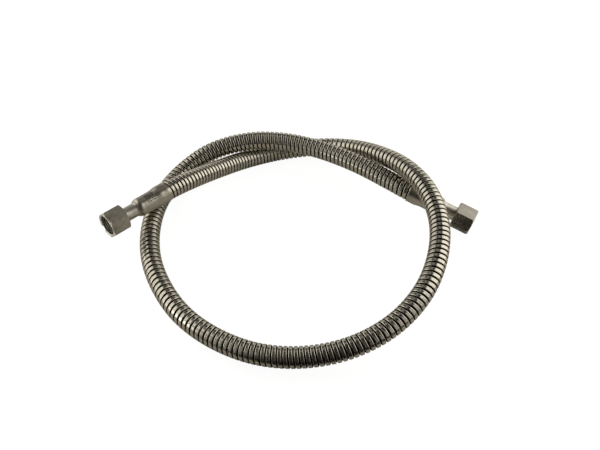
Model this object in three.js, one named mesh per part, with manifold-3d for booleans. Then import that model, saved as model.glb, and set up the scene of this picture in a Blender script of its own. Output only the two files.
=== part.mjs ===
// A cryogenic transfer hose, lying in one loop that is tucked through itself.
// A braided, corrugated inner hose runs inside a strip-wound metal casing.
// Each end has a ferrule, a plain tube neck and a hexagonal nut that swivels on the neck's flare.
// Millimetres, +Z up. The hose lies on z = 0, and the origin is under the middle of its outline.
import * as THREE from "three";
import { mergeVertices } from "three/addons/utils/BufferGeometryUtils.js";
import Module from "manifold-3d";

const wasm = await Module();
wasm.setup();

// Running and assembly gap between neighbours.
const clearance = 0.3;

// The hose, from the outside in.
const casingDiameter = 17.6;
const casingWall = 0.9;
const braidSlack = 0.9;
const braidWall = 0.5;
const innerHoseWall = 1.3;
const braidPastCasing = 7;
const casingSides = 12;
const innerSides = 8;
const hoseSteps = 72;

// The ferrule that holds the casing's end, from its rear edge to its front shoulder.
const ferruleWall = 0.4;
const ferruleGrip = 6;
const ferruleLip = 0.5;
const ferruleFlare = 8.5;
const ferruleBarrel = 14.5;
const ferruleShoulder = 2.5;
const ferruleNoseRim = 0.9;

// The collar that is pressed over the end of the braid.
const collarWall = 0.5;
const collarLength = 6;

// The turned adapter between the inner hose and the neck tube.
const adapterLength = 10;
const adapterWall = 1.1;
const adapterSocketDepth = 6.5;
const adapterChamfer = 0.8;

// The neck: half-inch tube with a 45 degree flare inside the nut.
const neckDiameter = 12.7;
const neckWall = 1.2;
const neckShown = 13.7;
const flareWidth = 1.9;

// The swivel nut: seven eighths of an inch across its flats.
const nutAcrossFlats = 22.2;
const nutLength = 18;
const nutThreadDiameter = 17.5;
const nutBackWall = 5.2;
const nutFrontChamfer = 0.9;
const nutBackChamfer = 0.7;
const nutMouthChamfer = 0.6;
const nutTurnA = 15.5;
const nutTurnB = 35.5;

// The centre line of the casing, from end A to end B, as the hose lies on the floor.
const casingRoute = [
  [-120, 38.9, 28.1],
  [-111.4, 47.3, 27.9],
  [-97.7, 60.9, 25.6],
  [-71.7, 87.9, 17.4],
  [-43.7, 110.4, 11.2],
  [-9.7, 124.9, 9.3],
  [26.3, 127.9, 11.9],
  [60.3, 114.4, 21],
  [85.3, 87.5, 34.2],
  [105.3, 57, 43.8],
  [119.3, 24.5, 46.9],
  [125.3, -10.6, 44.2],
  [120.3, -46.6, 39],
  [105.3, -79.6, 32.3],
  [80.3, -106.1, 25.4],
  [47.3, -123.1, 19.2],
  [11.3, -128.6, 14.1],
  [-24.7, -123.6, 10.7],
  [-58.7, -108.1, 9.1],
  [-87.7, -84.6, 8.9],
  [-108.7, -54.6, 8.9],
  [-122.7, -20.1, 8.9],
  [-127.7, 16.9, 8.9],
  [-123.7, 53.4, 9.2],
  [-107.7, 86.4, 12.4],
  [-79.7, 107.4, 22.2],
  [-43.7, 115.9, 28.8],
  [-7.7, 113.4, 30.4],
  [27.3, 101.4, 30],
  [60.3, 82.4, 29.4],
  [90.3, 60.8, 27],
  [103.3, 51.3, 25.4],
  [113.8, 45.9, 23],
].map((p) => new THREE.Vector3(...p));

// Radii and places that follow from the sizes above. Lengths along a fitting are
// counted from the casing's end face towards the nut's open mouth.
const casingRadius = casingDiameter / 2;
const casingBore = casingRadius - casingWall;
const braidRadius = casingBore - braidSlack;
const braidBore = braidRadius - braidWall;
const innerHoseRadius = braidBore - clearance;
const innerHoseBore = innerHoseRadius - innerHoseWall;
const collarBore = braidRadius + clearance;
const collarRadius = collarBore + collarWall;
const neckRadius = neckDiameter / 2;
const neckBore = neckRadius - neckWall;
const neckHole = neckRadius + clearance;
const adapterRadius = Math.max(collarRadius, neckHole + adapterWall);
const ferruleRearBore = casingRadius + clearance;
const ferruleFrontBore = adapterRadius + clearance;
const nutThreadRadius = nutThreadDiameter / 2;

const flareStart = ferruleLip;
const flareEnd = flareStart + ferruleFlare;
const shoulderStart = flareEnd + ferruleBarrel;
const ferruleNose = shoulderStart + ferruleShoulder;
const adapterStart = braidPastCasing + clearance;
const adapterEnd = adapterStart + adapterLength;
const neckStart = adapterEnd - adapterSocketDepth + clearance;
const nutBack = ferruleNose + neckShown;
const nutFront = nutBack + nutLength;
const nutSeat = nutBack + nutBackWall;
const flareRadius = neckRadius + flareWidth;

// Materials, by what each piece is made of.
function steel(color, roughness) {
  return new THREE.MeshStandardMaterial({ color, roughness, metalness: 1 });
}
const casingSteel = steel(0x8f8a7f, 0.34);
const braidSteel = steel(0x9a968c, 0.45);
const hoseSteel = steel(0xa39f96, 0.38);
const turnedSteel = steel(0x807a6e, 0.42);
const nutSteel = steel(0x78736a, 0.48);

// A solid of revolution about Z from a closed outline of [radius, z] points,
// listed so that the metal lies on the left of the outline.
function revolve(outline, sides = 32) {
  const points = [...outline, outline[0]].map(([r, z]) => new THREE.Vector2(r, z));
  const geometry = new THREE.LatheGeometry(points, sides);
  geometry.rotateX(Math.PI / 2);
  return geometry;
}

// Points of an S-shaped step in radius between two places on the axis.
function sweepStep(radius0, z0, radius1, z1, count = 4) {
  const points = [];
  for (let i = 0; i <= count; i++) {
    const t = i / count;
    const ease = t * t * (3 - 2 * t);
    points.push([radius0 + (radius1 - radius0) * ease, z0 + (z1 - z0) * t]);
  }
  return points;
}

// Booleans work on closed meshes that keep nothing but merged positions.
function toSolid(geometry) {
  const bare = geometry.clone();
  bare.deleteAttribute("normal");
  bare.deleteAttribute("uv");
  const merged = mergeVertices(bare, 1e-3);
  return new wasm.Manifold(
    new wasm.Mesh({
      numProp: 3,
      vertProperties: merged.attributes.position.array,
      triVerts: new Uint32Array(merged.index.array),
    }),
  );
}

function toGeometry(solid) {
  const mesh = solid.getMesh();
  const geometry = new THREE.BufferGeometry();
  geometry.setAttribute("position", new THREE.BufferAttribute(mesh.vertProperties, 3));
  geometry.setIndex(new THREE.BufferAttribute(mesh.triVerts, 1));
  geometry.computeVertexNormals();
  return geometry;
}

// A unit vector out of the hose at one end of the route.
function endDirection(end, inner) {
  return end.clone().sub(inner).normalize();
}
const endA = casingRoute[0];
const endB = casingRoute.at(-1);
const outwardA = endDirection(endA, casingRoute[1]);
const outwardB = endDirection(endB, casingRoute.at(-2));

// The route, made longer by the same straight amount at both ends.
function hoseCurve(extra) {
  const points = casingRoute.slice(1, -1);
  points.unshift(endA.clone().addScaledVector(outwardA, extra));
  points.push(endB.clone().addScaledVector(outwardB, extra));
  return new THREE.CatmullRomCurve3(points, false, "centripetal");
}

function polygon(PathClass, radius, sides) {
  const path = new PathClass();
  for (let i = 0; i < sides; i++) {
    const angle = (2 * Math.PI * i) / sides;
    const x = radius * Math.cos(angle);
    const y = radius * Math.sin(angle);
    if (i === 0) path.moveTo(x, y);
    else path.lineTo(x, y);
  }
  path.closePath();
  return path;
}

function hoseLayer(name, radius, bore, sides, extra, material) {
  const section = polygon(THREE.Shape, radius, sides);
  section.holes.push(polygon(THREE.Path, bore, sides));
  const geometry = new THREE.ExtrudeGeometry(section, {
    steps: hoseSteps,
    extrudePath: hoseCurve(extra),
  });
  const mesh = new THREE.Mesh(geometry, material);
  mesh.name = name;
  return mesh;
}

function ferruleGeometry() {
  const rear = -ferruleGrip;
  const innerStep = sweepStep(ferruleRearBore, flareStart, ferruleFrontBore, flareEnd);
  const outerStep = sweepStep(
    ferruleFrontBore + ferruleWall,
    flareEnd,
    ferruleRearBore + ferruleWall,
    flareStart,
  );
  return revolve([
    [ferruleRearBore + ferruleWall, rear],
    ...outerStep.reverse(),
    [ferruleFrontBore + ferruleWall, shoulderStart],
    [neckHole + ferruleNoseRim, ferruleNose],
    [neckHole, ferruleNose],
    [neckHole, shoulderStart + ferruleWall],
    [ferruleFrontBore, shoulderStart - ferruleWall],
    ...innerStep.reverse(),
    [ferruleRearBore, rear],
  ]);
}

function collarGeometry() {
  const front = braidPastCasing;
  return revolve([
    [collarRadius, front - collarLength],
    [collarRadius, front],
    [collarBore, front],
    [collarBore, front - collarLength],
  ]);
}

function adapterGeometry() {
  const socketFloor = adapterEnd - adapterSocketDepth;
  return revolve([
    [adapterRadius, adapterStart],
    [adapterRadius, adapterEnd - adapterChamfer],
    [adapterRadius - adapterChamfer, adapterEnd],
    [neckHole, adapterEnd],
    [neckHole, socketFloor],
    [neckBore, socketFloor],
    [neckBore, adapterStart],
  ]);
}

// The tube, flared at 45 degrees against the seat inside the nut.
function neckGeometry() {
  const bend = nutSeat + clearance;
  const wallAcross = neckWall * Math.SQRT2;
  const lip = bend + flareWidth;
  return revolve([
    [neckRadius, neckStart],
    [neckRadius, bend],
    [flareRadius, lip],
    [flareRadius, lip + neckWall],
    [neckBore, bend + wallAcross - neckWall + clearance],
    [neckBore, neckStart],
  ]);
}

// A hexagonal bar cut to length, with both ends and the bore turned.
function nutGeometry() {
  const corner = nutAcrossFlats / Math.sqrt(3);
  const flat = nutAcrossFlats / 2;
  const bar = new THREE.CylinderGeometry(corner, corner, nutLength, 6);
  bar.rotateX(Math.PI / 2);
  bar.translate(0, 0, nutBack + nutLength / 2);
  const chamferSlope = Math.tan(THREE.MathUtils.degToRad(30));
  const past = 1;
  const frontFace = flat - nutFrontChamfer;
  const backFace = flat - nutBackChamfer;
  const reach = corner + past;
  const frontFall = (reach - frontFace) * chamferSlope;
  const backFall = (reach - backFace) * chamferSlope;
  const turned = revolve([
    [backFace, nutBack],
    [reach, nutBack + backFall],
    [reach, nutFront - frontFall],
    [frontFace, nutFront],
    [nutThreadRadius + nutMouthChamfer, nutFront],
    [nutThreadRadius, nutFront - nutMouthChamfer],
    [nutThreadRadius, nutSeat + nutThreadRadius - neckHole],
    [neckHole, nutSeat],
    [neckHole, nutBack],
  ], 48);
  return toGeometry(toSolid(bar).intersect(toSolid(turned)));
}

// One end of the hose, built along +Z from the casing's end face.
function endFitting(letter, place, outward, nutTurn) {
  const fitting = new THREE.Group();
  const pieces = [
    ["armour_ferrule", ferruleGeometry(), turnedSteel],
    ["braid_collar", collarGeometry(), hoseSteel],
    ["hose_adapter", adapterGeometry(), hoseSteel],
    ["neck_tube", neckGeometry(), turnedSteel],
    ["swivel_nut", nutGeometry(), nutSteel],
  ];
  for (const [name, geometry, material] of pieces) {
    const mesh = new THREE.Mesh(geometry, material);
    mesh.name = `${name}_${letter}`;
    if (name === "swivel_nut") mesh.rotation.z = THREE.MathUtils.degToRad(nutTurn);
    fitting.add(mesh);
  }
  fitting.position.copy(place);
  const level = new THREE.Vector3(0, 0, 1).cross(outward).normalize();
  const upward = outward.clone().cross(level);
  fitting.quaternion.setFromRotationMatrix(new THREE.Matrix4().makeBasis(level, upward, outward));
  return fitting;
}

const hose = new THREE.Group();
hose.add(
  hoseLayer("armour_casing", casingRadius, casingBore, casingSides, 0, casingSteel),
  hoseLayer("braid_sleeve", braidRadius, braidBore, innerSides, braidPastCasing, braidSteel),
  hoseLayer("inner_hose", innerHoseRadius, innerHoseBore, innerSides, braidPastCasing, hoseSteel),
  endFitting("a", endA, outwardA, nutTurnA),
  endFitting("b", endB, outwardB, nutTurnB),
);

export default hose;
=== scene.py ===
# A cryogenic transfer hose on a pale studio floor: strip-wound steel armour in one tucked
# loop, with a ferrule, a tube neck and a hexagonal swivel nut at each end.
from math import atan2, cos, pi, radians, sqrt, tan

import bmesh
import bpy
import numpy as np
from mathutils import Matrix, Vector


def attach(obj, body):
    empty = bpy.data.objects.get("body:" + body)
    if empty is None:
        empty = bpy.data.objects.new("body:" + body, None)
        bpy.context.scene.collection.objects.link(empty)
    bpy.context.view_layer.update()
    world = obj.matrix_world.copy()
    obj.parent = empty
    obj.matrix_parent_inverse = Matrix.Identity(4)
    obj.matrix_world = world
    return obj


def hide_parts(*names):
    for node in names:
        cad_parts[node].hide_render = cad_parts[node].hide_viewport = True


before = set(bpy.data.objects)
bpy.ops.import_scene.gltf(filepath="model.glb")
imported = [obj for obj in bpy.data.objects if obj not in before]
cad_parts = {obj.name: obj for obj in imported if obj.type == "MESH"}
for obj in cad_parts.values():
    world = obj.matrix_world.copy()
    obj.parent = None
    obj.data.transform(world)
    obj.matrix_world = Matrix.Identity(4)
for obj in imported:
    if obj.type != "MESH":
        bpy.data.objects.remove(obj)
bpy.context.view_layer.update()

MM = 0.001

# The camera stands where the photograph's did: 45 degrees above the floor, in front.
CAMERA_PLACE = (0.0073, -0.4776, 0.5066)
CAMERA_PITCH = 45
CAMERA_LENS = 46.44
CAMERA_SENSOR = 36

# The centre line of the armour, from end A to end B, in metres.
ROUTE = [
    (-0.1200, 0.0389, 0.0281),
    (-0.1114, 0.0473, 0.0279),
    (-0.0977, 0.0609, 0.0256),
    (-0.0717, 0.0879, 0.0174),
    (-0.0437, 0.1104, 0.0112),
    (-0.0097, 0.1249, 0.0093),
    (0.0263, 0.1279, 0.0119),
    (0.0603, 0.1144, 0.0210),
    (0.0853, 0.0875, 0.0342),
    (0.1053, 0.0570, 0.0438),
    (0.1193, 0.0245, 0.0469),
    (0.1253, -0.0106, 0.0442),
    (0.1203, -0.0466, 0.0390),
    (0.1053, -0.0796, 0.0323),
    (0.0803, -0.1061, 0.0254),
    (0.0473, -0.1231, 0.0192),
    (0.0113, -0.1286, 0.0141),
    (-0.0247, -0.1236, 0.0107),
    (-0.0587, -0.1081, 0.0091),
    (-0.0877, -0.0846, 0.0089),
    (-0.1087, -0.0546, 0.0089),
    (-0.1227, -0.0201, 0.0089),
    (-0.1277, 0.0169, 0.0089),
    (-0.1237, 0.0534, 0.0092),
    (-0.1077, 0.0864, 0.0124),
    (-0.0797, 0.1074, 0.0222),
    (-0.0437, 0.1159, 0.0288),
    (-0.0077, 0.1134, 0.0304),
    (0.0273, 0.1014, 0.0300),
    (0.0603, 0.0824, 0.0294),
    (0.0903, 0.0608, 0.0270),
    (0.1033, 0.0513, 0.0254),
    (0.1138, 0.0459, 0.0230),
]
SPAN_STEPS = 24

# The armour: a profiled strip wound in a right-handed helix.
ARMOUR_RADIUS = 8.8 * MM
ARMOUR_BORE = 7.2 * MM
TURNS = 245
TURN_STEPS = 24
# Tolerances in metres: how near points are welded, and how near a cut its rim is looked for.
STRIP_MERGE = 1e-6
STRIP_REACH = 1e-5
RING_MERGE = 1e-7
THREAD_REACH = 1e-6
# How far the turns are pulled apart, as [distance along the hose in metres, stretch].
PITCH_STRETCH = [
    (0.00, 0.88),
    (0.05, 0.86),
    (0.09, 0.82),
    (0.13, 0.88),
    (0.18, 1.22),
    (0.27, 1.25),
    (0.33, 1.08),
    (0.36, 1.06),
    (0.45, 1.05),
    (0.55, 0.985),
    (0.62, 1.0),
    (0.70, 1.16),
    (0.80, 1.16),
    (0.88, 1.0),
]
# Places across one turn of the strip, as [share of the pitch, depth below the crest in mm].
STRIP_PROFILE = [
    (0.00, 1.25),
    (0.10, 1.25),
    (0.135, 0.80),
    (0.165, 0.40),
    (0.205, 0.15),
    (0.25, 0.035),
    (0.30, 0.0),
    (0.40, 0.03),
    (0.525, 0.06),
    (0.65, 0.03),
    (0.75, 0.0),
    (0.80, 0.035),
    (0.845, 0.15),
    (0.885, 0.40),
    (0.915, 0.80),
    (0.95, 1.20),
]

# The end fittings, in millimetres: radii, and places along the axis from the armour's end face.
FERRULE_REAR = -6.0
FERRULE_REAR_RADIUS = 9.5
FERRULE_REAR_BORE = 9.1
FERRULE_LIP_END = 0.5
FERRULE_FLARE_END = 9.0
FERRULE_RADIUS = 8.5
FERRULE_BORE = 8.1
FERRULE_SHOULDER = 23.5
FERRULE_NOSE = 26.0
FERRULE_NOSE_RADIUS = 7.55
NECK_RADIUS = 6.35
NECK_BORE = 5.15
NECK_HOLE = 6.65
NECK_START = 11.1
NECK_FLARE = 45.2
NECK_FLARE_RADIUS = 8.25
NECK_BORE_FLARE = NECK_FLARE + 0.8
NECK_LIP = 47.1
NECK_END = 48.3
NUT_BACK = 39.7
NUT_SEAT = 44.9
NUT_FRONT = 57.7
NUT_FLAT = 11.1
NUT_FRONT_FACE = 10.8
NUT_BACK_FACE = 10.5
NUT_BLANK_RADIUS = NUT_FLAT + 0.5
NUT_BLANK_CONE = 1
NUT_MOUTH = 10.15
# In degrees: the chamfer at the nut's ends, and how far each nut is turned on its neck.
NUT_CHAMFER = 30
NUT_TURNS = {"a": 15.5, "b": 35.5}

# The nut's thread, in millimetres: radii, and places along the axis.
THREAD_CREST = 8.72
THREAD_ROOT = 9.45
THREAD_PITCH = 1.5875
THREAD_START = NUT_SEAT + THREAD_ROOT - NECK_HOLE + 0.6
THREAD_END = NUT_FRONT - NUT_MOUTH + THREAD_ROOT - 0.15
THREAD_SINK = 0.02
# Steps in one turn of the thread, places across it as [share of the pitch, radius], and its
# root's middle as a share of the pitch.
THREAD_STEPS = 48
THREAD_PROFILE = [
    (0, THREAD_ROOT),
    (0.12, THREAD_ROOT),
    (0.46, THREAD_CREST),
    (0.66, THREAD_CREST),
    (1, THREAD_ROOT),
]
THREAD_ROOT_MIDDLE = 0.06

# Small turned details, as [change of radius, distance along] from where each one sits.
FERRULE_RIM = [(-0.12, 0.0), (0.05, 0.5), (-0.1, 1.3)]
FERRULE_GROOVE = [(0.0, -2.8), (-0.06, -2.2), (0.0, -1.6)]
WELD_BEAD = [(0.0, -0.3), (0.55, 0.15), (0.5, 0.6), (0.15, 1.2), (0.0, 2.0)]

# Turned pieces: numbers of steps, rounding of edges in mm, and the angle from which it is done.
EASE_STEPS = 8
RING_STEPS = 144
FERRULE_ROUNDING = 0.18
NECK_ROUNDING = 0.15
NUT_ROUNDING = 0.16
ROUNDED_ANGLE = 25

# Which of the nut's materials the front face and the thread wear. A face counts as front when it
# is this near, in millimetres, and its normal points at least this much along the axis.
FACE_SLOT = 1
THREAD_SLOT = 2
NUT_FACE_DEPTH = 1.5
NUT_FACE_SLOPE = 0.3

# Colours of the steel, of the dirt and marks on it, and of painted shade and a painted highlight.
ARMOUR_COLOR = (0.68, 0.653, 0.555, 1)
SLEEVE_COLOR = (0.52, 0.492, 0.42, 1)
NECK_COLOR = (0.62, 0.593, 0.52, 1)
# Nut b's colour is nut a's steel darkened: painted shade.
NUT_COLORS = {"a": (0.46, 0.435, 0.37, 1), "b": (0.28, 0.27, 0.235, 1)}
# Painted highlight: the nut's front face and mouth chamfer are coloured much lighter than its flats.
FACE_HIGHLIGHT_COLOR = (0.85, 0.83, 0.76, 1)
THREAD_COLOR = (0.85, 0.825, 0.74, 1)
INNER_COLOR = (0.5, 0.47, 0.42, 1)
# Painted shade: the near-black colour that darkens the armour's grooves.
GROOVE_SHADE_COLOR = (0.012, 0.011, 0.009, 1)
SCORE_COLOR = (0.16, 0.15, 0.125, 1)
PUNCH_COLOR = (0.03, 0.027, 0.022, 1)
# The darker colour of the thread's roots.
ROOT_DARK_COLOR = (0.02, 0.018, 0.014, 1)

# The strip's pattern, in shares of the pitch: the crest's middle, and distances from it.
CREST_MIDDLE = 0.525
GROOVE_EDGE = (0.32, 0.365)
SCORE_PLACE = 0.12
SCORE_WIDTH = 0.045

# The punch marks: dots per turn and per centimetre, and their window's middle and fading edges.
MARK_SPREAD = (32.0, 4.6, 0.0)
MARKS_AROUND = 0.19
MARKS_AROUND_FADE = (0.09, 0.08)
MARKS_ALONG = 1.25
MARKS_ALONG_FADE = (0.5, 0.46)

# The studio: a round floor and a dark card in front, in metres, and their colours.
FLOOR_RADIUS = 4
FLOOR_HEIGHT = -0.0002
FLOOR_SHOWN = 0.94
FLOOR_GLOSS = (0.85, 0.825, 0.77, 1)
CARD_HALF = (1.6, 0.8, 1)
CARD_PLACE = (0, -0.952, 0.0001)
CARD_COLOR = (0.03, 0.028, 0.025, 1)
LAMP_COLOR = (1.0, 0.965, 0.905)
# The light boxes, as [name, place, aim, width and height, watts].
LIGHT_BOXES = [
    ("left_box", (-0.5, 0.225, 0.48), (0, 0.225, 0.48), (0.75, 0.93), 2.5),
    ("left_front_box", (-0.5, -0.4, 0.48), (0, -0.4, 0.48), (0.5, 0.93), 0.45),
    ("right_box", (0.5, 0.225, 0.48), (0, 0.225, 0.48), (0.75, 0.93), 3.25),
    ("right_front_box", (0.5, -0.4, 0.48), (0, -0.4, 0.48), (0.5, 0.93), 0.65),
    ("back_box", (0, 1.0, 0.3), (0, 0, 0.3), (0.8, 0.6), 0.95),
    ("left_back_box", (-0.5, 0.8, 0.48), (0, 0.8, 0.48), (0.4, 0.93), 0.42),
    ("right_back_box", (0.5, 0.8, 0.48), (0, 0.8, 0.48), (0.4, 0.93), 0.85),
    ("mouth_box", (-0.243, -0.123, 0.067), (-0.165, 0.0, 0.03), (0.08, 0.08), 0.05),
    ("top_box", (-0.04, 0.528, 1.307), (-0.04, -0.304, 0.752), (0.48, 0.6), 0.29),
]


# Camera

def place_camera():
    data = bpy.data.cameras.new("camera")
    data.sensor_width = CAMERA_SENSOR
    data.lens = CAMERA_LENS
    camera = bpy.data.objects.new("camera", data)
    camera.location = CAMERA_PLACE
    camera.rotation_euler = (radians(90 - CAMERA_PITCH), 0, 0)
    bpy.context.scene.collection.objects.link(camera)
    bpy.context.scene.camera = camera


# The hose's route

def span_points(before, start, end, after):
    """Points of a centripetal Catmull-Rom span, without its end."""
    gap_before = sqrt((start - before).length)
    gap = sqrt((end - start).length)
    gap_after = sqrt((after - end).length)
    leave = (start - before) / gap_before - (end - before) / (gap_before + gap) + (end - start) / gap
    arrive = (end - start) / gap - (after - start) / (gap + gap_after) + (after - end) / gap_after
    leave *= gap
    arrive *= gap
    square = 3 * (end - start) - 2 * leave - arrive
    cube = 2 * (start - end) + leave + arrive
    steps = [i / SPAN_STEPS for i in range(SPAN_STEPS)]
    return [start + leave * t + square * t * t + cube * t ** 3 for t in steps]


def route_line():
    """The smooth centre line through the route's points."""
    points = [Vector(p) for p in ROUTE]
    points.insert(0, 2 * points[0] - points[1])
    points.append(2 * points[-1] - points[-2])
    line = []
    for i in range(len(points) - 3):
        line += span_points(*points[i:i + 4])
    line.append(points[-2])
    return line


def route_frames(line):
    """Distance, centre, side and up vector at each point of the line, carried on without twist."""
    ahead = [(b - a).normalized() for a, b in zip(line, line[1:])]
    tangents = [ahead[0]] + [(a + b).normalized() for a, b in zip(ahead, ahead[1:])] + [ahead[-1]]
    side = Vector((0, 0, 1)).cross(tangents[0]).normalized()
    distance = 0
    rows = []
    for i, (point, tangent) in enumerate(zip(line, tangents)):
        if i:
            distance += (point - line[i - 1]).length
            turn = tangents[i - 1].rotation_difference(tangent)
            side = turn @ side
            side = (side - tangent * side.dot(tangent)).normalized()
        rows.append([distance, *point, *side, *tangent.cross(side)])
    return np.array(rows)


def lay_along(bm, frames):
    """Bends a straight piece that stands on +Z so that its axis follows the route."""
    straight = np.array([v.co[:] for v in bm.verts])
    distances = frames[:, 0]
    places = [np.interp(straight[:, 2], distances, column) for column in frames.T[1:]]
    centre = np.stack(places[0:3], axis=1)
    side = np.stack(places[3:6], axis=1)
    up = np.stack(places[6:9], axis=1)
    bent = centre + side * straight[:, :1] + up * straight[:, 1:2]
    for vert, place in zip(bm.verts, bent):
        vert.co = place


# Mesh helpers

def draw_line(bm, points):
    """Edges through the points, in the XZ plane: [radius, height]."""
    verts = [bm.verts.new((radius, 0, height)) for radius, height in points]
    return [bm.edges.new(pair) for pair in zip(verts, verts[1:])]


def turn_on_lathe(points):
    """A ring-shaped solid from its closed outline in millimetres: [radius, height]."""
    bm = bmesh.new()
    edges = draw_line(bm, [(radius * MM, height * MM) for radius, height in points])
    edges.append(bm.edges.new((edges[-1].verts[1], edges[0].verts[0])))
    bmesh.ops.spin(
        bm,
        geom=edges + list(bm.verts),
        axis=(0, 0, 1),
        cent=(0, 0, 0),
        angle=2 * pi,
        steps=RING_STEPS,
        use_merge=True,
    )
    bmesh.ops.remove_doubles(bm, verts=bm.verts, dist=RING_MERGE)
    bmesh.ops.recalc_face_normals(bm, faces=bm.faces)
    return bm


def soften_edges(bm, width):
    """Rounds every sharp edge between two faces."""
    between = [e for e in bm.edges if len(e.link_faces) == 2]
    sharp = [e for e in between if e.calc_face_angle() > radians(ROUNDED_ANGLE)]
    bmesh.ops.bevel(
        bm,
        geom=sharp,
        offset=width * MM,
        offset_type="OFFSET",
        segments=2,
        profile=0.5,
        affect="EDGES",
        material=-1,
        clamp_overlap=True,
    )


def cut_square(bm, height, side, rim_radius, reach):
    """Cuts off what lies past the height and draws the new rim in or out to a radius."""
    bmesh.ops.bisect_plane(
        bm,
        geom=bm.verts[:] + bm.edges[:] + bm.faces[:],
        dist=reach / 100,
        plane_co=(0, 0, height),
        plane_no=(0, 0, side),
        clear_outer=True,
    )
    rim = [e for e in bm.edges if e.is_boundary and abs(e.verts[0].co.z - height) < reach]
    turned = bmesh.ops.extrude_edge_only(bm, edges=rim)["geom"]
    for vert in turned:
        if isinstance(vert, bmesh.types.BMVert):
            vert.co.xy *= rim_radius / vert.co.xy.length


def turn_of(point):
    """How far round Z a point lies, as a share of a full turn."""
    return atan2(point.y, point.x) / (2 * pi)


def turn_near(point, home):
    """The point's turn round Z, counted on or back to lie near another turn."""
    turn = turn_of(point)
    return turn + round(home - turn)


def wrap_uv(bm):
    """U is the turn round Z and V the height in centimetres, so patterns follow the lathe."""
    layer = bm.loops.layers.uv.verify()
    for face in bm.faces:
        home = turn_of(face.calc_center_median())
        for loop in face.loops:
            point = loop.vert.co
            loop[layer].uv = (turn_near(point, home), point.z / (10 * MM))


def finish_piece(bm, name, material, body, smooth=30):
    """Turns the mesh into a named object of the part."""
    mesh = bpy.data.meshes.new(name)
    bm.to_mesh(mesh)
    bm.free()
    mesh.shade_smooth()
    mesh.set_sharp_from_angle(angle=radians(smooth))
    mesh.materials.append(material)
    piece = bpy.data.objects.new(name, mesh)
    bpy.context.scene.collection.objects.link(piece)
    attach(piece, body)
    return piece


# The armour

def wind_strip(length):
    """The strip-wound tube, straight on +Z, with a UV map of turns along and pitch across."""
    pitch = length / TURNS
    bm = bmesh.new()
    layer = bm.loops.layers.uv.verify()
    across = [*STRIP_PROFILE, (1.0, STRIP_PROFILE[0][1])]
    outline = [(ARMOUR_RADIUS - depth * MM, (share - 1) * pitch) for share, depth in across]
    edges = draw_line(bm, outline)
    bmesh.ops.spin(
        bm,
        geom=edges + list(bm.verts),
        axis=(0, 0, 1),
        cent=(0, 0, 0),
        dvec=(0, 0, pitch / TURN_STEPS),
        angle=2 * pi,
        steps=TURN_STEPS,
    )
    for face in bm.faces:
        home = turn_of(face.calc_center_median()) % 1
        for loop in face.loops:
            turn = turn_near(loop.vert.co, home)
            loop[layer].uv = (turn, loop.vert.co.z / pitch + 1 - turn)
    copies = 1
    while copies < TURNS + 2:
        made = bmesh.ops.duplicate(bm, geom=bm.verts[:] + bm.edges[:] + bm.faces[:])["geom"]
        verts = [e for e in made if isinstance(e, bmesh.types.BMVert)]
        bmesh.ops.translate(bm, verts=verts, vec=(0, 0, pitch * copies))
        for face in made:
            if isinstance(face, bmesh.types.BMFace):
                for loop in face.loops:
                    loop[layer].uv.x += copies
        copies *= 2
    bmesh.ops.remove_doubles(bm, verts=bm.verts, dist=STRIP_MERGE)
    return bm


def trim_ends(bm, length):
    """Cuts both ends square and turns their rims inwards to the bore."""
    for height, side in ((0, -1), (length, 1)):
        cut_square(bm, height, side, ARMOUR_BORE, STRIP_REACH)
    bmesh.ops.recalc_face_normals(bm, faces=bm.faces)


def wound_places(distances):
    """Where each distance along the hose lies on the straight, evenly wound piece."""
    density = 1 / np.interp(distances, *zip(*PITCH_STRETCH))
    steps = np.diff(distances) * (density[1:] + density[:-1]) / 2
    wound = np.concatenate([[0], np.cumsum(steps)])
    return wound * distances[-1] / wound[-1]


def make_armour(line, material):
    frames = route_frames(line)
    length = frames[-1][0]
    frames[:, 0] = wound_places(frames[:, 0])
    bm = wind_strip(length)
    trim_ends(bm, length)
    lay_along(bm, frames)
    armour = finish_piece(bm, "armour_strip", material, "hose", smooth=60)
    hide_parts("armour_casing")
    return armour


# The end fittings, made along +Z and then set on the ends of the route

def fitting_place(end, inner):
    """The matrix that sets a fitting on one end, with its side vector level."""
    outward = (Vector(end) - Vector(inner)).normalized()
    level = Vector((0, 0, 1)).cross(outward).normalized()
    turned = Matrix((level, outward.cross(level), outward)).transposed()
    return Matrix.Translation(end) @ turned.to_4x4()


def ease(start, end):
    """Points of an S-shaped step between two [radius, height] places."""
    points = []
    for i in range(EASE_STEPS + 1):
        t = i / EASE_STEPS
        share = t * t * (3 - 2 * t)
        radius = start[0] + (end[0] - start[0]) * share
        points.append((radius, start[1] + (end[1] - start[1]) * t))
    return points


def detail_at(rows, radius, height):
    """The points of a small turned detail that sits at a radius and a height."""
    return [(radius + outward, height + along) for outward, along in rows]


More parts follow.
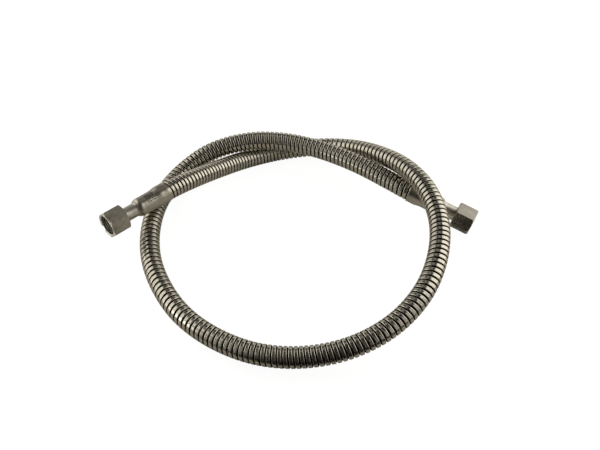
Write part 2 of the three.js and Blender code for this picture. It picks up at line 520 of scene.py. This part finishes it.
def make_ferrule(letter, place, material):
    """A drawn sleeve with a rolled rear rim, a swaged barrel and a conical nose."""
    wall = FERRULE_RADIUS - FERRULE_BORE
    outside = [
        *detail_at(FERRULE_RIM, FERRULE_REAR_RADIUS, FERRULE_REAR),
        *ease((FERRULE_REAR_RADIUS, FERRULE_LIP_END), (FERRULE_RADIUS, FERRULE_FLARE_END)),
        *detail_at(FERRULE_GROOVE, FERRULE_RADIUS, FERRULE_SHOULDER),
        (FERRULE_RADIUS, FERRULE_SHOULDER),
        (FERRULE_NOSE_RADIUS, FERRULE_NOSE),
        (NECK_HOLE, FERRULE_NOSE),
    ]
    inside = [
        (NECK_HOLE, FERRULE_SHOULDER + wall),
        (FERRULE_BORE, FERRULE_SHOULDER - wall),
        *ease((FERRULE_BORE, FERRULE_FLARE_END), (FERRULE_REAR_BORE, FERRULE_LIP_END)),
        (FERRULE_REAR_BORE, FERRULE_REAR),
    ]
    bm = turn_on_lathe(outside + inside)
    soften_edges(bm, FERRULE_ROUNDING)
    wrap_uv(bm)
    bmesh.ops.transform(bm, matrix=place, verts=bm.verts)
    ferrule = finish_piece(bm, f"ferrule_sleeve_{letter}", material, "hose")
    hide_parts(f"armour_ferrule_{letter}")
    return ferrule


def make_neck(letter, place, material):
    """The tube between ferrule and nut, with a weld bead at the nose and a flared end."""
    outline = [
        (NECK_RADIUS, NECK_START),
        *detail_at(WELD_BEAD, NECK_RADIUS, FERRULE_NOSE),
        (NECK_RADIUS, NECK_FLARE),
        (NECK_FLARE_RADIUS, NECK_LIP),
        (NECK_FLARE_RADIUS, NECK_END),
        (NECK_BORE, NECK_BORE_FLARE),
        (NECK_BORE, NECK_START),
    ]
    bm = turn_on_lathe(outline)
    soften_edges(bm, NECK_ROUNDING)
    wrap_uv(bm)
    bmesh.ops.transform(bm, matrix=place, verts=bm.verts)
    neck = finish_piece(bm, f"neck_pipe_{letter}", material, "hose")
    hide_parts(f"neck_tube_{letter}")
    return neck


def hexagon_radius(vert):
    """How far the hexagon's outside is from the axis in the direction of a vertex."""
    sector = pi / 3
    angle = (atan2(vert.co.y, vert.co.x) + sector / 2) % sector - sector / 2
    return NUT_FLAT * MM / cos(angle)


def nut_blank():
    """The hexagonal bar with both ends turned to cones and the bore left plain."""
    outline = [
        (NUT_BACK_FACE, NUT_BACK),
        (NUT_BLANK_RADIUS, NUT_BACK + NUT_BLANK_CONE),
        (NUT_BLANK_RADIUS, NUT_FRONT - NUT_BLANK_CONE),
        (NUT_FRONT_FACE, NUT_FRONT),
        (NUT_MOUTH, NUT_FRONT),
        (THREAD_ROOT, NUT_FRONT - NUT_MOUTH + THREAD_ROOT),
        (THREAD_ROOT, NUT_SEAT + THREAD_ROOT - NECK_HOLE),
        (NECK_HOLE, NUT_SEAT),
        (NECK_HOLE, NUT_BACK),
    ]
    bm = turn_on_lathe(outline)
    slope = tan(radians(NUT_CHAMFER))
    for vert in bm.verts:
        radius = vert.co.xy.length
        if radius < NUT_FLAT * MM:
            continue
        reach = hexagon_radius(vert)
        back = vert.co.z < (NUT_BACK + NUT_FRONT) / 2 * MM
        if back:
            height = NUT_BACK * MM + (reach - NUT_BACK_FACE * MM) * slope
        else:
            height = NUT_FRONT * MM - (reach - NUT_FRONT_FACE * MM) * slope
        vert.co.xy *= reach / radius
        vert.co.z = height
    soften_edges(bm, NUT_ROUNDING)
    return bm


def cut_thread(bm):
    """The internal thread, as a wound V-shaped strip that lines the nut's bore."""
    turns = int((THREAD_END - THREAD_START) / THREAD_PITCH) + 3
    thread = bmesh.new()
    first = THREAD_START - 2 * THREAD_PITCH
    outline = [(radius * MM, (first + share * THREAD_PITCH) * MM) for share, radius in THREAD_PROFILE]
    edges = draw_line(thread, outline)
    bmesh.ops.spin(
        thread,
        geom=edges + list(thread.verts),
        axis=(0, 0, 1),
        cent=(0, 0, 0),
        dvec=(0, 0, THREAD_PITCH * MM / THREAD_STEPS),
        angle=2 * pi * turns,
        steps=THREAD_STEPS * turns,
    )
    bmesh.ops.remove_doubles(thread, verts=thread.verts, dist=RING_MERGE)
    for height, side in ((THREAD_START, -1), (THREAD_END, 1)):
        cut_square(thread, height * MM, side, (THREAD_ROOT + THREAD_SINK) * MM, THREAD_REACH)
    bmesh.ops.recalc_face_normals(thread, faces=thread.faces)
    inward = sum(f.normal.xy.dot(f.calc_center_median().xy) for f in thread.faces)
    if inward > 0:
        bmesh.ops.reverse_faces(thread, faces=thread.faces)
    for face in thread.faces:
        face.material_index = THREAD_SLOT
    spare = bpy.data.meshes.new("thread")
    thread.to_mesh(spare)
    thread.free()
    bm.from_mesh(spare)
    bpy.data.meshes.remove(spare)


def make_nut(letter, place, material, face_material, inside_material):
    """The nut, with its own materials on the turned front face and on the thread."""
    bm = nut_blank()
    for face in bm.faces:
        front = face.calc_center_median().z > (NUT_FRONT - NUT_FACE_DEPTH) * MM
        if front and abs(face.normal.z) > NUT_FACE_SLOPE:
            face.material_index = FACE_SLOT
    cut_thread(bm)
    wrap_uv(bm)
    turn = Matrix.Rotation(radians(NUT_TURNS[letter]), 4, "Z")
    bmesh.ops.transform(bm, matrix=place @ turn, verts=bm.verts)
    nut = finish_piece(bm, f"hex_nut_{letter}", material, f"nut_{letter}", smooth=12)
    nut.data.materials.append(face_material)
    nut.data.materials.append(inside_material)
    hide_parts(f"swivel_nut_{letter}")
    return nut


# Materials

def add_node(tree, kind, **settings):
    node = tree.nodes.new(kind)
    for name, value in settings.items():
        setattr(node, name, value)
    return node


def math_node(tree, operation, first, second=None, clamp=False):
    """A Math node whose inputs are sockets or plain numbers. Returns its output."""
    node = add_node(tree, "ShaderNodeMath", operation=operation, use_clamp=clamp)
    for socket, value in zip(node.inputs, (first, second)):
        if value is None:
            continue
        if isinstance(value, (int, float)):
            socket.default_value = value
        else:
            tree.links.new(value, socket)
    return node.outputs[0]


def noise(tree, vector, scale, detail, roughness):
    node = add_node(tree, "ShaderNodeTexNoise")
    node.inputs["Detail"].default_value = detail
    node.inputs["Roughness"].default_value = roughness
    if isinstance(scale, (int, float)):
        node.inputs["Scale"].default_value = scale
    else:
        tree.links.new(scale, node.inputs["Scale"])
    tree.links.new(vector, node.inputs["Vector"])
    return node.outputs["Fac"]


def ramp(tree, value, low, high):
    """Value mapped smoothly from low..high to 0..1."""
    node = add_node(tree, "ShaderNodeMapRange", interpolation_type="SMOOTHSTEP")
    node.inputs["From Min"].default_value = low
    node.inputs["From Max"].default_value = high
    tree.links.new(value, node.inputs["Value"])
    return node.outputs["Result"]


def mix_color(tree, share, first, second):
    node = add_node(tree, "ShaderNodeMix", data_type="RGBA")
    sockets = (node.inputs[0], node.inputs[6], node.inputs[7])
    for socket, value in zip(sockets, (share, first, second)):
        if isinstance(value, bpy.types.NodeSocket):
            tree.links.new(value, socket)
        else:
            socket.default_value = value
    return node.outputs[2]


def split_uv(tree):
    """The UV map as a vector, and its two parts by themselves."""
    source = add_node(tree, "ShaderNodeTexCoord").outputs["UV"]
    split = add_node(tree, "ShaderNodeSeparateXYZ")
    tree.links.new(source, split.inputs[0])
    return source, split.outputs["X"], split.outputs["Y"]


def distance_from(tree, value, middle):
    """How far a value is from a number, either way."""
    return math_node(tree, "ABSOLUTE", math_node(tree, "SUBTRACT", value, middle))


def steel_group():
    """Worked steel: streaks along the tool's path, soft stains and fine grain."""
    tree = bpy.data.node_groups.new("worked_steel", "ShaderNodeTree")
    sockets = [
        ("Vector", "NodeSocketVector", None),
        ("Stretch", "NodeSocketVector", (1, 1, 1)),
        ("Clean", "NodeSocketColor", (0.5, 0.5, 0.5, 1)),
        ("Stained", "NodeSocketColor", (0.2, 0.2, 0.2, 1)),
        ("Stain Scale", "NodeSocketFloat", 3.0),
        ("Stain Amount", "NodeSocketFloat", 0.5),
        ("Streak Amount", "NodeSocketFloat", 0.3),
        ("Roughness", "NodeSocketFloat", 0.35),
        ("Roughness Spread", "NodeSocketFloat", 0.1),
    ]
    for name, kind, value in sockets:
        socket = tree.interface.new_socket(name, in_out="INPUT", socket_type=kind)
        if value is not None:
            socket.default_value = value
    tree.interface.new_socket("Color", in_out="OUTPUT", socket_type="NodeSocketColor")
    tree.interface.new_socket("Roughness", in_out="OUTPUT", socket_type="NodeSocketFloat")
    tree.interface.new_socket("Height", in_out="OUTPUT", socket_type="NodeSocketFloat")
    given = add_node(tree, "NodeGroupInput").outputs
    stretched = add_node(tree, "ShaderNodeVectorMath", operation="MULTIPLY")
    tree.links.new(given["Vector"], stretched.inputs[0])
    tree.links.new(given["Stretch"], stretched.inputs[1])
    streaks = noise(tree, stretched.outputs[0], 1.0, 4.0, 0.65)
    stains = ramp(tree, noise(tree, given["Vector"], given["Stain Scale"], 5.0, 0.6), 0.42, 0.68)
    stain = math_node(tree, "MULTIPLY", stains, given["Stain Amount"])
    color = mix_color(tree, stain, given["Clean"], given["Stained"])
    swing = math_node(tree, "MULTIPLY", math_node(tree, "SUBTRACT", streaks, 0.5), given["Streak Amount"])
    tone = math_node(tree, "ADD", swing, 1.0)
    toned = add_node(tree, "ShaderNodeVectorMath", operation="SCALE")
    tree.links.new(color, toned.inputs[0])
    tree.links.new(tone, toned.inputs["Scale"])
    uneven = math_node(tree, "ADD", math_node(tree, "SUBTRACT", streaks, 0.5), stain)
    spread = math_node(tree, "MULTIPLY", uneven, given["Roughness Spread"])
    rough = math_node(tree, "ADD", given["Roughness"], spread, clamp=True)
    result = add_node(tree, "NodeGroupOutput")
    tree.links.new(toned.outputs[0], result.inputs["Color"])
    tree.links.new(rough, result.inputs["Roughness"])
    tree.links.new(streaks, result.inputs["Height"])
    return tree


def steel_material(name, group, values, coordinates="UV"):
    """A metal with the shared finish. Returns it with its tree, shader and finish node."""
    material = bpy.data.materials.new(name)
    material.use_nodes = True
    tree = material.node_tree
    shader = tree.nodes["Principled BSDF"]
    shader.inputs["Metallic"].default_value = 1.0
    finish = add_node(tree, "ShaderNodeGroup", node_tree=group)
    source = add_node(tree, "ShaderNodeTexCoord")
    tree.links.new(source.outputs[coordinates], finish.inputs["Vector"])
    for socket, value in values.items():
        finish.inputs[socket].default_value = value
    tree.links.new(finish.outputs["Color"], shader.inputs["Base Color"])
    tree.links.new(finish.outputs["Roughness"], shader.inputs["Roughness"])
    return material, tree, shader, finish


def add_bump(tree, shader, height, strength, distance):
    bump = add_node(tree, "ShaderNodeBump")
    bump.inputs["Strength"].default_value = strength
    bump.inputs["Distance"].default_value = distance
    tree.links.new(height, bump.inputs["Height"])
    tree.links.new(bump.outputs["Normal"], shader.inputs["Normal"])


def armour_material(group):
    """Bright crests with two scored lines each, and painted shade in the grooves between them."""
    values = {
        "Stretch": (1.5, 14.0, 1.0),
        "Clean": ARMOUR_COLOR,
        "Stained": (0.50, 0.474, 0.397, 1),
        "Stain Scale": 1.3,
        "Stain Amount": 0.35,
        "Streak Amount": 0.18,
        "Roughness": 0.21,
        "Roughness Spread": 0.06,
    }
    material, tree, shader, finish = steel_material("armour_steel", group, values)
    across = split_uv(tree)[2]
    off_crest = distance_from(tree, across, CREST_MIDDLE)
    groove = ramp(tree, off_crest, *GROOVE_EDGE)
    rough = math_node(tree, "ADD", finish.outputs["Roughness"], math_node(tree, "MULTIPLY", groove, 0.3))
    tree.links.new(rough, shader.inputs["Roughness"])
    clear = ramp(tree, distance_from(tree, off_crest, SCORE_PLACE), 0.0, SCORE_WIDTH)
    lined = mix_color(tree, clear, SCORE_COLOR, finish.outputs["Color"])
    # Painted shade: the grooves between the turns are darkened to near black.
    shaded_grooves = mix_color(tree, groove, lined, GROOVE_SHADE_COLOR)
    tree.links.new(shaded_grooves, shader.inputs["Base Color"])
    scored = math_node(tree, "MULTIPLY", clear, 0.9)
    height = math_node(tree, "ADD", scored, math_node(tree, "MULTIPLY", finish.outputs["Height"], 0.2))
    add_bump(tree, shader, height, 0.2, 0.0001)
    return material


def turned_material(name, group, clean, roughness, marked=False):
    """Satin turned steel, with small plain punch marks in rows where marked."""
    values = {
        "Stretch": (2.0, 45.0, 1.0),
        "Clean": clean,
        "Stained": (0.40, 0.378, 0.325, 1),
        "Stain Scale": 2.5,
        "Stain Amount": 0.35,
        "Streak Amount": 0.15,
        "Roughness": roughness,
        "Roughness Spread": 0.06,
    }
    material, tree, shader, finish = steel_material(name, group, values)
    height = finish.outputs["Height"]
    if marked:
        marks = punch_marks(tree)
        color = mix_color(tree, marks, finish.outputs["Color"], PUNCH_COLOR)
        tree.links.new(color, shader.inputs["Base Color"])
        height = math_node(tree, "SUBTRACT", height, math_node(tree, "MULTIPLY", marks, 6.0))
    add_bump(tree, shader, height, 0.15, 0.0001)
    return material


def punch_marks(tree):
    """A mask of small dots in loose rows on the side of the barrel that faces the camera."""
    source, turn, height = split_uv(tree)
    spread = add_node(tree, "ShaderNodeVectorMath", operation="MULTIPLY")
    spread.inputs[1].default_value = MARK_SPREAD
    tree.links.new(source, spread.inputs[0])
    dots = add_node(tree, "ShaderNodeTexVoronoi", voronoi_dimensions="2D")
    dots.inputs["Scale"].default_value = 1.0
    dots.inputs["Randomness"].default_value = 0.3
    tree.links.new(spread.outputs[0], dots.inputs["Vector"])
    near = ramp(tree, dots.outputs["Distance"], 0.40, 0.30)
    around = ramp(tree, distance_from(tree, turn, MARKS_AROUND), *MARKS_AROUND_FADE)
    along = ramp(tree, distance_from(tree, height, MARKS_ALONG), *MARKS_ALONG_FADE)
    window = math_node(tree, "MULTIPLY", around, along)
    return math_node(tree, "MULTIPLY", near, window)


def nut_material(name, group, clean, roughness):
    """Milled steel with fine grain that runs no particular way."""
    values = {
        "Stretch": (420.0, 420.0, 420.0),
        "Clean": clean,
        "Stained": (0.25, 0.238, 0.2, 1),
        "Stain Scale": 300.0,
        "Stain Amount": 0.3,
        "Streak Amount": 0.3,
        "Roughness": roughness,
        "Roughness Spread": 0.1,
    }
    material, tree, shader, finish = steel_material(name, group, values, "Object")
    add_bump(tree, shader, finish.outputs["Height"], 0.25, 0.0001)
    return material


def thread_material(group):
    """Steel, darker in the roots of the thread."""
    values = {
        "Stretch": (2.0, 30.0, 1.0),
        "Clean": THREAD_COLOR,
        "Stained": (0.4, 0.378, 0.325, 1),
        "Stain Scale": 4.0,
        "Stain Amount": 0.3,
        "Streak Amount": 0.15,
        "Roughness": 0.3,
        "Roughness Spread": 0.1,
    }
    material, tree, shader, finish = steel_material("threaded_steel", group, values)
    turn, height = split_uv(tree)[1:]
    wound = math_node(tree, "MULTIPLY", height, 10 / THREAD_PITCH)
    unwound = math_node(tree, "SUBTRACT", wound, turn)
    place = math_node(tree, "SUBTRACT", unwound, THREAD_START / THREAD_PITCH + THREAD_ROOT_MIDDLE)
    from_root = math_node(tree, "PINGPONG", place, 0.5)
    dark_roots = ramp(tree, from_root, 0.40, 0.30)
    color = mix_color(tree, dark_roots, finish.outputs["Color"], ROOT_DARK_COLOR)
    tree.links.new(color, shader.inputs["Base Color"])
    return material


def inner_material(group):
    """Duller steel for the pieces inside the armour."""
    values = {
        "Stretch": (260.0, 260.0, 260.0),
        "Clean": INNER_COLOR,
        "Stained": (0.2, 0.18, 0.16, 1),
        "Stain Scale": 120.0,
        "Stain Amount": 0.4,
        "Streak Amount": 0.5,
        "Roughness": 0.4,
        "Roughness Spread": 0.15,
    }
    material, tree, shader, finish = steel_material("inner_steel", group, values, "Object")
    add_bump(tree, shader, finish.outputs["Height"], 0.5, 0.0003)
    return material


def dress_node(name, material):
    """Gives a CAD node that stays its new material."""
    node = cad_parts[name]
    if not node.material_slots:
        node.data.materials.append(material)
    for socket in node.material_slots:
        socket.link = "OBJECT"
        socket.material = material


# Studio

def pale_material(name, shown_to_camera, shown_to_gloss):
    """Plain pale paper for light, with its own brightness for the camera and for gloss."""
    material = bpy.data.materials.new(name)
    material.use_nodes = True
    tree = material.node_tree
    tree.nodes.clear()
    paper = add_node(tree, "ShaderNodeBsdfDiffuse")
    paper.inputs["Color"].default_value = (0.8, 0.79, 0.77, 1)
    shade = add_node(tree, "ShaderNodeBsdfDiffuse")
    shade.inputs["Color"].default_value = (0.22, 0.22, 0.22, 1)
    white = add_node(tree, "ShaderNodeEmission")
    white.inputs["Strength"].default_value = shown_to_camera
    background = add_node(tree, "ShaderNodeAddShader")
    tree.links.new(shade.outputs[0], background.inputs[0])
    tree.links.new(white.outputs[0], background.inputs[1])
    mirrored = add_node(tree, "ShaderNodeBsdfDiffuse")
    mirrored.inputs["Color"].default_value = shown_to_gloss
    rays = add_node(tree, "ShaderNodeLightPath").outputs
    clear = math_node(tree, "MAXIMUM", rays["Is Glossy Ray"], rays["Is Transmission Ray"])
    for_gloss = add_node(tree, "ShaderNodeMixShader")
    tree.links.new(clear, for_gloss.inputs[0])
    tree.links.new(paper.outputs[0], for_gloss.inputs[1])
    tree.links.new(mirrored.outputs[0], for_gloss.inputs[2])
    for_camera = add_node(tree, "ShaderNodeMixShader")
    tree.links.new(rays["Is Camera Ray"], for_camera.inputs[0])
    tree.links.new(for_gloss.outputs[0], for_camera.inputs[1])
    tree.links.new(background.outputs[0], for_camera.inputs[2])
    output = add_node(tree, "ShaderNodeOutputMaterial")
    tree.links.new(for_camera.outputs[0], output.inputs["Surface"])
    return material


def add_stage(name, bm, material):
    mesh = bpy.data.meshes.new(name)
    bm.to_mesh(mesh)
    bm.free()
    mesh.materials.append(material)
    sheet = bpy.data.objects.new(name, mesh)
    bpy.context.scene.collection.objects.link(sheet)
    return sheet


def make_floor():
    bm = bmesh.new()
    bmesh.ops.create_circle(bm, cap_ends=True, segments=96, radius=FLOOR_RADIUS)
    bmesh.ops.translate(bm, verts=bm.verts, vec=(0, 0, FLOOR_HEIGHT))
    add_stage("floor", bm, pale_material("floor_paper", FLOOR_SHOWN, FLOOR_GLOSS))


def make_dark_card():
    """A black card on the floor in front, which only the metal's gloss sees."""
    material = bpy.data.materials.new("black_card")
    material.use_nodes = True
    shader = material.node_tree.nodes["Principled BSDF"]
    shader.inputs["Base Color"].default_value = CARD_COLOR
    shader.inputs["Specular IOR Level"].default_value = 0.0
    bm = bmesh.new()
    bmesh.ops.create_grid(bm, x_segments=1, y_segments=1, size=1)
    bmesh.ops.scale(bm, verts=bm.verts, vec=CARD_HALF)
    bmesh.ops.translate(bm, verts=bm.verts, vec=CARD_PLACE)
    card = add_stage("front_card", bm, material)
    card.visible_camera = False
    card.visible_diffuse = False
    card.visible_transmission = False
    card.visible_shadow = False


def light_world():
    """White where the camera looks past the floor, and a dim warm room for all else."""
    world = bpy.data.worlds.new("studio")
    world.use_nodes = True
    tree = world.node_tree
    tree.nodes.clear()
    room = add_node(tree, "ShaderNodeBackground")
    room.inputs["Color"].default_value = (0.03, 0.028, 0.025, 1)
    white = add_node(tree, "ShaderNodeBackground")
    white.inputs["Color"].default_value = (1, 1, 1, 1)
    choice = add_node(tree, "ShaderNodeMixShader")
    light_path = add_node(tree, "ShaderNodeLightPath")
    tree.links.new(light_path.outputs["Is Camera Ray"], choice.inputs[0])
    tree.links.new(room.outputs[0], choice.inputs[1])
    tree.links.new(white.outputs[0], choice.inputs[2])
    output = add_node(tree, "ShaderNodeOutputWorld")
    tree.links.new(choice.outputs[0], output.inputs["Surface"])
    bpy.context.scene.world = world


def soft_box(name, place, aim, size, power):
    """A warm rectangular studio light, with its width level."""
    data = bpy.data.lights.new(name, "AREA")
    data.shape = "RECTANGLE"
    data.size, data.size_y = size
    data.energy = power
    data.color = LAMP_COLOR
    lamp = bpy.data.objects.new(name, data)
    lamp.location = place
    lamp.rotation_euler = (Vector(aim) - Vector(place)).to_track_quat("-Z", "Y").to_euler()
    lamp.visible_camera = False
    bpy.context.scene.collection.objects.link(lamp)


# Putting it together

place_camera()
line = route_line()
steel = steel_group()
armour = make_armour(line, armour_material(steel))
sleeve_steel = {
    "a": turned_material("marked_steel", steel, SLEEVE_COLOR, 0.3, marked=True),
    "b": turned_material("turned_steel", steel, SLEEVE_COLOR, 0.3),
}
neck_steel = turned_material("neck_steel", steel, NECK_COLOR, 0.34)
nut_steel = {
    "a": nut_material("milled_nut_steel", steel, NUT_COLORS["a"], 0.24),
    # Nut b wears a darker copy of the nut steel: painted shade.
    "b": nut_material("shaded_nut_steel", steel, NUT_COLORS["b"], 0.24),
}
# The front face's lighter colour is a painted highlight.
face_highlight_steel = nut_material("face_highlight_nut_steel", steel, FACE_HIGHLIGHT_COLOR, 0.22)
threaded_steel = thread_material(steel)
places = {
    "a": fitting_place(ROUTE[0], ROUTE[1]),
    "b": fitting_place(ROUTE[-1], ROUTE[-2]),
}
for letter, place in places.items():
    make_ferrule(letter, place, sleeve_steel[letter])
    make_neck(letter, place, neck_steel)
    make_nut(letter, place, nut_steel[letter], face_highlight_steel, threaded_steel)
inner = inner_material(steel)
hidden = ["braid_sleeve", "inner_hose", "braid_collar_a", "braid_collar_b"]
hidden += ["hose_adapter_a", "hose_adapter_b"]
for name in hidden:
    dress_node(name, inner)
make_floor()
make_dark_card()
light_world()
for box in LIGHT_BOXES:
    soft_box(*box)
bpy.context.scene.view_settings.view_transform = "Standard"
